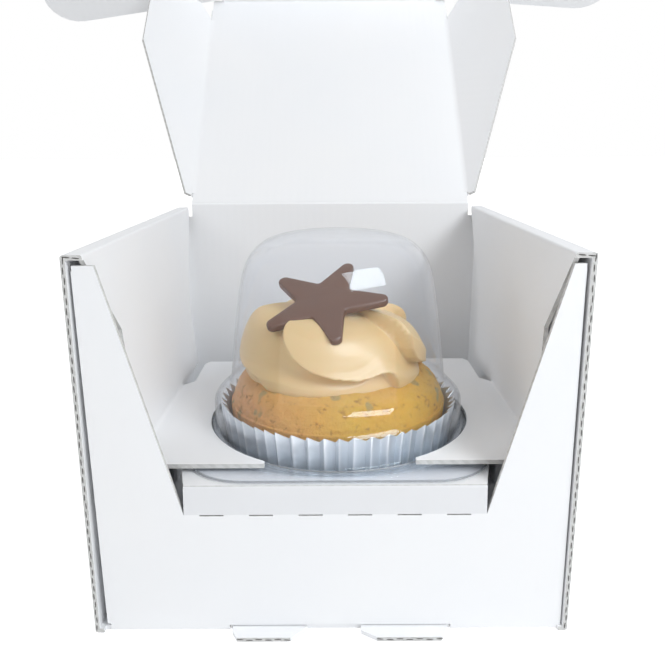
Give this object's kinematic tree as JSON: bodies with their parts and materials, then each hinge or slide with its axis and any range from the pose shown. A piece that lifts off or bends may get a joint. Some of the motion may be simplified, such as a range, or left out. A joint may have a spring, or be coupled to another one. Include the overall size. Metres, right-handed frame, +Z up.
{
  "type": "cupcake box",
  "caption": "Open white card box with hinged lid, shelf flaps and window, holding a clear domed pod with a cupcake",
  "frame": {"origin": "on the table, under the middle of the carton's bottom", "axes": "+Z up, +X to the viewer's right, +Y from the window wall to the lid's fold"},
  "size_m": [0.2518, 0.2054, 0.2088],
  "materials": {
    "card": "white fine-fluted card",
    "clear": "clear thermoformed",
    "foil": "bright pleated foil",
    "sponge": "baked crumb",
    "icing": "soft caramel icing",
    "chocolate": "satin chocolate"
  },
  "bodies": {
    "carton": {"box_body": "card", "pod_base": "clear", "pod_dome": "clear", "foil_case": "foil", "cupcake_sponge": "sponge", "icing_swirl": "icing", "chocolate_star": "chocolate"},
    "lid": {"lid_panel": "card"},
    "left_wing": {"lid_left_wing": "card"},
    "right_wing": {"lid_right_wing": "card"},
    "tuck": {"tuck_flap": "card"},
    "left_shelf": {"left_shelf_flap": "card"},
    "right_shelf": {"right_shelf_flap": "card"}
  },
  "joints": [
    {"name": "lid_hinge", "type": "hinge", "parent": "carton", "child": "lid", "pos_m": [0, 0.0599, 0.0995], "axis": [1, 0, 0], "range_deg": [-42, 100]},
    {"name": "left_wing_fold", "type": "hinge", "parent": "lid", "child": "left_wing", "pos_m": [-0.054, 0.0599, 0.0995], "axis": [0, 0.6756, 0.7373], "range_deg": [-40, 55]},
    {"name": "right_wing_fold", "type": "hinge", "parent": "lid", "child": "right_wing", "pos_m": [0.054, 0.0599, 0.0995], "axis": [0, -0.6756, -0.7373], "range_deg": [-40, 55]},
    {"name": "tuck_fold", "type": "hinge", "parent": "lid", "child": "tuck", "pos_m": [0, 0.13982, 0.18672], "axis": [1, 0, 0], "range_deg": [-90, 5]},
    {"name": "left_shelf_fold", "type": "hinge", "parent": "carton", "child": "left_shelf", "pos_m": [-0.05, 0, 0.0439], "axis": [0, 1, 0], "range_deg": [-80, 0]},
    {"name": "right_shelf_fold", "type": "hinge", "parent": "carton", "child": "right_shelf", "pos_m": [0.0544, 0, 0.0447], "axis": [0, -1, 0], "range_deg": [-80, 0]}
  ]
}
